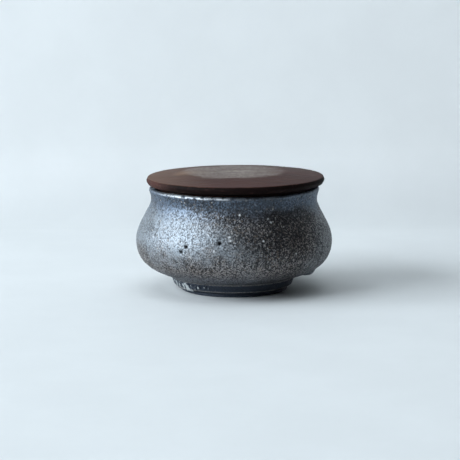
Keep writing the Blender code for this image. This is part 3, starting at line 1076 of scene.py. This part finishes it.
GRAIN_STRETCH = (0.12, 1.0, 1.0)
PORE_STRETCH = (0.06, 1.0, 1.0)
GRAIN_SIZE, FIGURE_SIZE, PORE_SIZE = 1.6 * MM, 9 * MM, 0.45 * MM
GRAIN_WANDER, FIGURE_WANDER = 0.4, 0.8
FIGURE_EDGE = (0.35, 0.68)
PALE_EDGE, PALE_SHARE = (0.48, 0.75), 0.6
PORE_EDGE, PORE_SHARE = (0.6, 0.75), 0.55
GRAIN_RELIEF = 0.05 * MM
PORE_RELIEF = 0.04 * MM
RING_SIZE, RING_RELIEF = 0.8 * MM, 0.03 * MM


class Wood:
    """Fine grain, broad figure and open pores, all running along X, with their colour and relief."""

    def __init__(self, f, look):
        along = f.stretched(GRAIN_STRETCH)
        self.grain = f.noise(GRAIN_SIZE, FIBROUS, along, GRAIN_WANDER)
        self.pores = f.noise(PORE_SIZE, SOFT, f.stretched(PORE_STRETCH))
        figure = f.noise(FIGURE_SIZE, SMOOTH, along, FIGURE_WANDER)
        colour = f.blended(f.ranged(figure, *FIGURE_EDGE), look.heart, look.streak)
        colour = f.blended(f.times(f.ranged(self.grain, *PALE_EDGE), PALE_SHARE), colour, look.pale)
        self.colour = f.blended(f.times(f.ranged(self.pores, *PORE_EDGE), PORE_SHARE), colour, look.streak)
        self.relief = f.bump(self.grain, GRAIN_RELIEF)


BROAD_SIZE = 16 * MM
CROWN_DRIFT = 12 * MM
CROWN_FADE = (3.0 * MM, -3.5 * MM)
SCUFF_SIZE, SCUFF_STRETCH = 2.0 * MM, (1.0, 0.30, 1.0)
SCUFF_EDGE, SCUFF_SHARE = (0.40, 0.60), 0.26
MIDDLE_PLACE, MIDDLE_REACH, MIDDLE_SHEEN = (2 * MM, -7 * MM), (15 * MM, 22 * MM), (0.44, 0.64)
PATCHY_SIZE, PATCHY_STRETCH = 8 * MM, (0.5, 1.0, 1.0)
PATCHY_EDGE, PATCHY_SHEEN = (0.35, 0.60), (0.72, 1.08)
RIGHT_SHEEN_EDGE, RIGHT_SHEEN = (12 * MM, 34 * MM), 0.40
WARM_PLACE, WARM_REACH, WARM_SHARE = (-26 * MM, -3 * MM), (17 * MM, 19 * MM), 0.85
LEFT_LIGHT_EDGE, LEFT_LIGHT_SHARE = (-8 * MM, -46 * MM), 0.38
WOOD_ROUGH_EDGE, WOOD_ROUGHNESS, SHEEN_POLISH = (0.3, 0.7), (0.48, 0.60), 0.05
WOOD_SPECULAR = 0.05


def painted_crown_sheen(f, sizes, radius, broad):
    """Painted sheen on the crown, standing in for the backdrop's reflection: broken by scuffs, patchy,
    thickest in the middle and thinner on the right.
    """
    drift = f.swing(broad, CROWN_DRIFT)
    crown_radius = sizes.radius - sizes.edge_inset - sizes.slope_width
    outer, inner = (crown_radius + fade for fade in CROWN_FADE)
    crown = f.ranged(f.plus(radius, drift), outer, inner)
    scuffs = f.ranged(f.noise(SCUFF_SIZE, SCUFFED, f.stretched(SCUFF_STRETCH)), *SCUFF_EDGE)
    middle = f.ranged(f.patch(MIDDLE_PLACE, MIDDLE_REACH, broad), 0, 1, *MIDDLE_SHEEN)
    painted_sheen = f.times(crown, f.plus(middle, f.times(scuffs, SCUFF_SHARE)))
    patchy = f.noise(PATCHY_SIZE, SOFT, f.stretched(PATCHY_STRETCH))
    painted_sheen = f.times(painted_sheen, f.ranged(patchy, *PATCHY_EDGE, *PATCHY_SHEEN))
    return f.times(painted_sheen, f.ranged(f.plus(f.coordinate("X"), drift), *RIGHT_SHEEN_EDGE, 1, RIGHT_SHEEN))


def wood_finish(look, sizes):
    """Top of the lid: dark hardwood with a painted sheen on the crown, painted light towards the left, and
    faint rings of the lathe.
    """
    f = Finish("dark_turned_wood")
    wood = Wood(f, look)
    radius = f.distance()
    broad = f.noise(BROAD_SIZE, SMOOTH)
    painted_sheen = painted_crown_sheen(f, sizes, radius, broad)
    warm = f.times(f.patch(WARM_PLACE, WARM_REACH, broad), WARM_SHARE)
    # Painted light: the top turns warmer and lighter towards the left, where the window lights it.
    painted_left_light = f.ranged(f.coordinate("X"), *LEFT_LIGHT_EDGE, 0, LEFT_LIGHT_SHARE)
    colour = f.blended(f.most(warm, painted_left_light), wood.colour, look.warm)
    # Painted reflection: the crown's sheen is painted in as a lighter colour.
    colour = f.blended(painted_sheen, colour, look.painted_sheen)
    roughness = f.ranged(wood.grain, *WOOD_ROUGH_EDGE, *WOOD_ROUGHNESS)
    roughness = f.minus(roughness, f.times(painted_sheen, SHEEN_POLISH))
    normal = f.bump(wood.pores, PORE_RELIEF, below=wood.relief)
    normal = f.bump(f.rings(RING_SIZE, radius), RING_RELIEF, below=normal)
    f.shaded(Base_Color=colour, Roughness=roughness, Normal=normal, Specular_IOR_Level=WOOD_SPECULAR)
    return f.material


SIDE_GRAIN_EDGE = (0.50, 0.85)
SIDE_LIGHT_DRIFT, SIDE_LIGHT_EDGE = 8 * MM, (-26 * MM, -42 * MM)
SIDE_ROUGHNESS, SIDE_SPECULAR = 0.6, 0.04


def edge_finish(look):
    """Side of the lid: near-black painted shade streaked by the grain, going back to brown wood on the left
    as painted light.
    """
    f = Finish("lid_side_painted_shade")
    wood = Wood(f, look)
    colour = f.blended(f.ranged(wood.grain, *SIDE_GRAIN_EDGE), look.painted_side_shade, look.streak)
    # Painted light: towards the left, where the window lights the side, it goes back to brown wood.
    side_painted_light = f.ranged(f.plus(f.coordinate("X"), f.times(wood.grain, SIDE_LIGHT_DRIFT)), *SIDE_LIGHT_EDGE)
    colour = f.blended(side_painted_light, colour, wood.colour)
    f.shaded(Base_Color=colour, Normal=wood.relief)
    f.shaded(Roughness=SIDE_ROUGHNESS, Specular_IOR_Level=SIDE_SPECULAR)
    return f.material


SHADE_GRAIN_EDGE = (0.4, 0.7)
COVERED_EDGE = (46.8 * MM, 45.6 * MM)
SHADE_ROUGHNESS, SHADE_SPECULAR = 0.8, 0.02


def underside_finish(look):
    """Matt bevel under the lid's edge, painted near-black as painted shade, and plain wood where the lid
    covers the mouth.
    """
    f = Finish("underside_painted_shade")
    wood = Wood(f, look)
    colour = f.blended(f.ranged(wood.grain, *SHADE_GRAIN_EDGE), look.shade, look.painted_side_shade)
    colour = f.blended(f.ranged(f.distance(), *COVERED_EDGE), colour, wood.colour)
    f.shaded(Base_Color=colour, Normal=wood.relief)
    f.shaded(Roughness=SHADE_ROUGHNESS, Specular_IOR_Level=SHADE_SPECULAR)
    return f.material


PAINT_ROUGHNESS, PAINT_SPECULAR = 0.75, 0.25
MOTTLE_SIZE, MOTTLE_EDGE, MOTTLE_SHARES = 60 * MM, (0.35, 0.7), (0.97, 1.0)


def stage_finish(studio):
    """Matt pale paint with faint mottling, in one colour on the floor and another up the wall."""
    f = Finish("studio_white")
    upright = f.ranged(f.coordinate("Z"), 0, WALL_COVE)
    colour = f.blended(upright, studio.floor_colour, studio.wall_colour)
    mottle = f.ranged(f.noise(MOTTLE_SIZE, MOTTLED), *MOTTLE_EDGE, *MOTTLE_SHARES)
    mottle = f.node("CombineColor", {"Red": mottle, "Green": mottle, "Blue": mottle})["Color"]
    colour = f.blended(1.0, colour, mottle, mode="MULTIPLY")
    f.shaded(Base_Color=colour, Roughness=PAINT_ROUGHNESS, Specular_IOR_Level=PAINT_SPECULAR)
    see_through_from_behind(f)
    return f.material


def see_through_from_behind(f):
    """Let the camera see through the backdrop's back face."""
    seen_by = f.node("LightPath")["Is Camera Ray"]
    behind = f.node("NewGeometry")["Backfacing"]
    clear = f.node("BsdfTransparent")["BSDF"]
    mixed = f.node("MixShader", {"Fac": f.times(seen_by, behind), 1: f.shader.outputs["BSDF"], 2: clear})
    f.feed(f.tree.nodes["Material Output"].inputs["Surface"], mixed["Shader"])


# Studio, with the camera fitted to the photograph's 460 by 460 pixels

PHOTO_SIDE = 460
FOCAL_PIXELS = 2000
BASE_PIXEL_X = 234.0
BASE_PIXEL_Y = 287.3
CAMERA_DISTANCE = 1.135
CAMERA_ELEVATION = asin(0.1895)
SENSOR_WIDTH_MM = 36.0


def add_camera():
    metres_per_pixel = CAMERA_DISTANCE / FOCAL_PIXELS
    side = (PHOTO_SIDE / 2 - BASE_PIXEL_X) * metres_per_pixel
    pitch = CAMERA_ELEVATION - atan((BASE_PIXEL_Y - PHOTO_SIDE / 2) / FOCAL_PIXELS)
    place = (side, -CAMERA_DISTANCE * cos(CAMERA_ELEVATION), CAMERA_DISTANCE * sin(CAMERA_ELEVATION))
    bpy.ops.object.camera_add(location=place, rotation=(pi / 2 - pitch, 0, 0))
    camera = bpy.context.object
    camera.name = "photo_camera"
    camera.data.sensor_width = SENSOR_WIDTH_MM
    camera.data.lens = SENSOR_WIDTH_MM * FOCAL_PIXELS / PHOTO_SIDE
    bpy.context.scene.camera = camera
    return camera


FLOOR_LOW = (-3.0, -2.8)
FLOOR_HIGH = (1.6, 0.25)
WALL_LEFT = -1.2
WALL_RIGHT = 0.6
WALL_HEIGHT = 1.6
WALL_COVE = 0.05
WALL_COVE_SEGMENTS = 12
WINDOW_AZIMUTH = radians(70)
WINDOW_ELEVATION = radians(26)
WINDOW_DISTANCE = 3.6
WINDOW_SIZE = (3.4, 2.0)
OVERHEAD_HEIGHT = 3.0
OVERHEAD_SIZE = (3.4, 3.4)
LAMP_AIM = Vector((0, 0, 0.03))


def add_floor_and_backdrop(studio):
    """One sheet: a level floor that curves up into an upright backdrop behind the pot."""
    deselect_everything()
    bpy.ops.mesh.primitive_plane_add(size=1.0, location=(0, 0, 0))
    sheet = bpy.context.object
    sheet.name = "studio_floor"
    bpy.ops.object.mode_set(mode="EDIT")
    bpy.ops.mesh.select_all(action="SELECT")
    size = [high - low for low, high in zip(FLOOR_LOW, FLOOR_HIGH)]
    middle = [(high + low) / 2 for low, high in zip(FLOOR_LOW, FLOOR_HIGH)]
    bpy.ops.transform.resize(value=(*size, 1))
    bpy.ops.transform.translate(value=(*middle, 0))
    for wall_end in (WALL_LEFT, WALL_RIGHT):
        bpy.ops.mesh.select_all(action="SELECT")
        bpy.ops.mesh.bisect(plane_co=(wall_end, 0, 0), plane_no=(1, 0, 0))
    bpy.ops.mesh.select_all(action="DESELECT")
    bpy.ops.mesh.select_mode(type="EDGE")
    bpy.ops.object.mode_set(mode="OBJECT")
    for edge in sheet.data.edges:
        ends = [sheet.data.vertices[index].co for index in edge.vertices]
        at_wall = min(end.y for end in ends) > FLOOR_HIGH[1] - MM
        edge.select = at_wall and WALL_LEFT < sum(end.x for end in ends) / 2 < WALL_RIGHT
    bpy.ops.object.mode_set(mode="EDIT")
    bpy.ops.mesh.extrude_region_move(TRANSFORM_OT_translate={"value": (0, 0, WALL_HEIGHT)})
    bpy.ops.object.mode_set(mode="OBJECT")
    cove = sheet.modifiers.new("cove", "BEVEL")
    cove.width = WALL_COVE
    cove.segments = WALL_COVE_SEGMENTS
    bpy.ops.object.modifier_apply(modifier=cove.name)
    bpy.ops.object.shade_smooth()
    sheet.data.materials.append(stage_finish(studio))
    return sheet


def add_soft_lamp(name, place, size, power, colour):
    """Rectangular lamp aimed at the pot."""
    bpy.ops.object.light_add(type="AREA", location=place)
    lamp = bpy.context.object
    lamp.name = name
    lamp.data.shape = "RECTANGLE"
    lamp.data.size, lamp.data.size_y = size
    lamp.data.energy = power
    lamp.data.color = colour
    lamp.rotation_euler = (LAMP_AIM - lamp.location).to_track_quat("-Z", "Y").to_euler()
    return lamp


def light_room(studio):
    """A wide low window on the left, a weak lamp above, and no other light."""
    level = cos(WINDOW_ELEVATION)
    towards = Vector((-sin(WINDOW_AZIMUTH) * level, -cos(WINDOW_AZIMUTH) * level, sin(WINDOW_ELEVATION)))
    colour = studio.window_colour
    add_soft_lamp("window", towards * WINDOW_DISTANCE, WINDOW_SIZE, studio.window_power, colour)
    add_soft_lamp("overhead", (0, 0, OVERHEAD_HEIGHT), OVERHEAD_SIZE, studio.overhead_power, colour)
    scene = bpy.context.scene
    scene.world = scene.world or bpy.data.worlds.new("room")
    scene.world.use_nodes = True
    for node in scene.world.node_tree.nodes:
        if node.type == "BACKGROUND":
            node.inputs["Strength"].default_value = 0


# The lid's faces take their finish from how they lie

TOP_FACE_RISE = 0.5
UNDERSIDE_FACE_RISE = -0.7


def finish_lid(piece, look, sizes):
    """Wood on top with a painted sheen on its crown, painted shade on the side, and painted shade on the
    bevel underneath.
    """
    for finish in (wood_finish(look, sizes), edge_finish(look), underside_finish(look)):
        piece.data.materials.append(finish)
    for face in piece.data.polygons:
        rise = face.normal.z
        # Faces that face sideways or down take the painted shade of the side and underside finishes.
        face.material_index = int(rise < TOP_FACE_RISE) + int(rise < UNDERSIDE_FACE_RISE)


# Operators, one for each piece and one for the stage

class POT_OT_throw_body(bpy.types.Operator):
    """Throw the pot's body, give it its glaze and put it in the place of the plain one"""
    bl_idname = "pot.throw_body"
    bl_label = "Throw the body"

    def execute(self, context):
        scene = context.scene
        piece, outline = model_pot_body(scene.pot_sizes)
        press_throwing_rings(piece, outline)
        sculpt_outside(piece, outline)
        true_lip(piece, outline, scene.pot_lid)
        piece.data.shade_smooth()
        piece.data.materials.append(glaze_finish(scene.pot_glaze))
        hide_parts("pot_body")
        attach(piece, "pot")
        return {"FINISHED"}


class POT_OT_turn_lid(bpy.types.Operator):
    """Turn the wooden lid and put it in the place of the plain one"""
    bl_idname = "pot.turn_lid"
    bl_label = "Turn the lid"

    def execute(self, context):
        scene = context.scene
        piece = model_lid(scene.pot_lid)
        wear_lid(piece, scene.pot_lid)
        piece.data.shade_smooth()
        finish_lid(piece, scene.pot_wood, scene.pot_lid)
        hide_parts("lid")
        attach(piece, "lid")
        return {"FINISHED"}


class POT_OT_set_stage(bpy.types.Operator):
    """Set the plain floor, the soft light and the camera"""
    bl_idname = "pot.set_stage"
    bl_label = "Set the stage"

    def execute(self, context):
        studio = context.scene.pot_studio
        add_camera()
        add_floor_and_backdrop(studio)
        light_room(studio)
        context.scene.view_settings.view_transform = "Standard"
        return {"FINISHED"}


class POT_PT_sidebar(bpy.types.Panel):
    """Steps and settings of the lidded pot"""
    bl_idname = "POT_PT_sidebar"
    bl_label = "Lidded pot"
    bl_space_type = "VIEW_3D"
    bl_region_type = "UI"
    bl_category = "Lidded pot"

    def draw(self, context):
        scene = context.scene
        steps = (
            (POT_OT_throw_body, (scene.pot_sizes, scene.pot_glaze)),
            (POT_OT_turn_lid, (scene.pot_lid, scene.pot_wood)),
            (POT_OT_set_stage, (scene.pot_studio,)),
        )
        for step, groups in steps:
            box = self.layout.box()
            box.operator(step.bl_idname)
            for group in groups:
                for name in group.__annotations__:
                    box.prop(group, name)


SETTINGS = {
    "pot_sizes": PotSizes,
    "pot_lid": LidSizes,
    "pot_glaze": GlazeLook,
    "pot_wood": WoodLook,
    "pot_studio": StudioSettings,
}
CLASSES = (*SETTINGS.values(), POT_OT_throw_body, POT_OT_turn_lid, POT_OT_set_stage, POT_PT_sidebar)


def register():
    for cls in CLASSES:
        bpy.utils.register_class(cls)
    for name, group in SETTINGS.items():
        setattr(bpy.types.Scene, name, bpy.props.PointerProperty(type=group))


def unregister():
    for name in SETTINGS:
        delattr(bpy.types.Scene, name)
    for cls in reversed(CLASSES):
        bpy.utils.unregister_class(cls)


def main():
    register()
    bpy.ops.pot.throw_body()
    bpy.ops.pot.turn_lid()
    bpy.ops.pot.set_stage()


if __name__ == "__main__":
    main()
